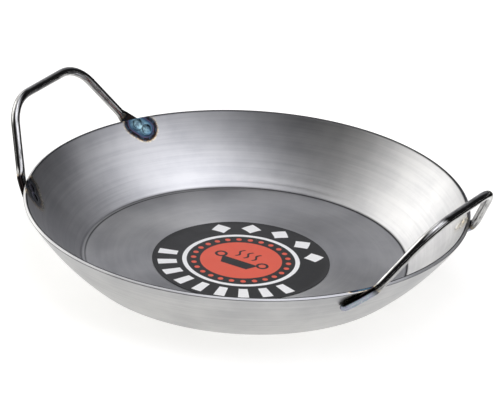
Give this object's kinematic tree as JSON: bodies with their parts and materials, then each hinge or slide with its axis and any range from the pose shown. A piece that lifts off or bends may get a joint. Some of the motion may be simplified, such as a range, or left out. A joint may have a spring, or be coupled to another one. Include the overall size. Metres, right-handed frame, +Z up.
{
  "type": "two-handled serving pan",
  "caption": "Shallow round pan of bare sheet steel with a flat floor, flared wall, upright loop handles of bent round wire spot-welded below the rim, and a round paper label.",
  "frame": {"origin": "middle of the pan's underside, on the surface it stands on", "axes": "+Z up; the two handles lie along +X and -X, each 0.8 degrees off that line towards -Y; +Y is across them"},
  "size_m": [0.3136, 0.2796, 0.0836],
  "materials": {
    "sheet_steel": "bare spun steel sheet, fine turning lines round the wall, blue and brown heat tint at the welds",
    "drawn_wire": "bright drawn steel wire, lengthwise draw lines, heat tint at the pressed feet",
    "weld_metal": "fused steel, blued by heat",
    "label_paper": null
  },
  "bodies": {
    "root": {"pan_body": "sheet_steel", "handle_right": "drawn_wire", "handle_left": "drawn_wire", "label": "label_paper", "weld_right_front_upper": "weld_metal", "weld_right_front_lower": "weld_metal", "weld_right_back_upper": "weld_metal", "weld_right_back_lower": "weld_metal", "weld_left_front_upper": "weld_metal", "weld_left_front_lower": "weld_metal", "weld_left_back_upper": "weld_metal", "weld_left_back_lower": "weld_metal"}
  },
  "joints": []
}
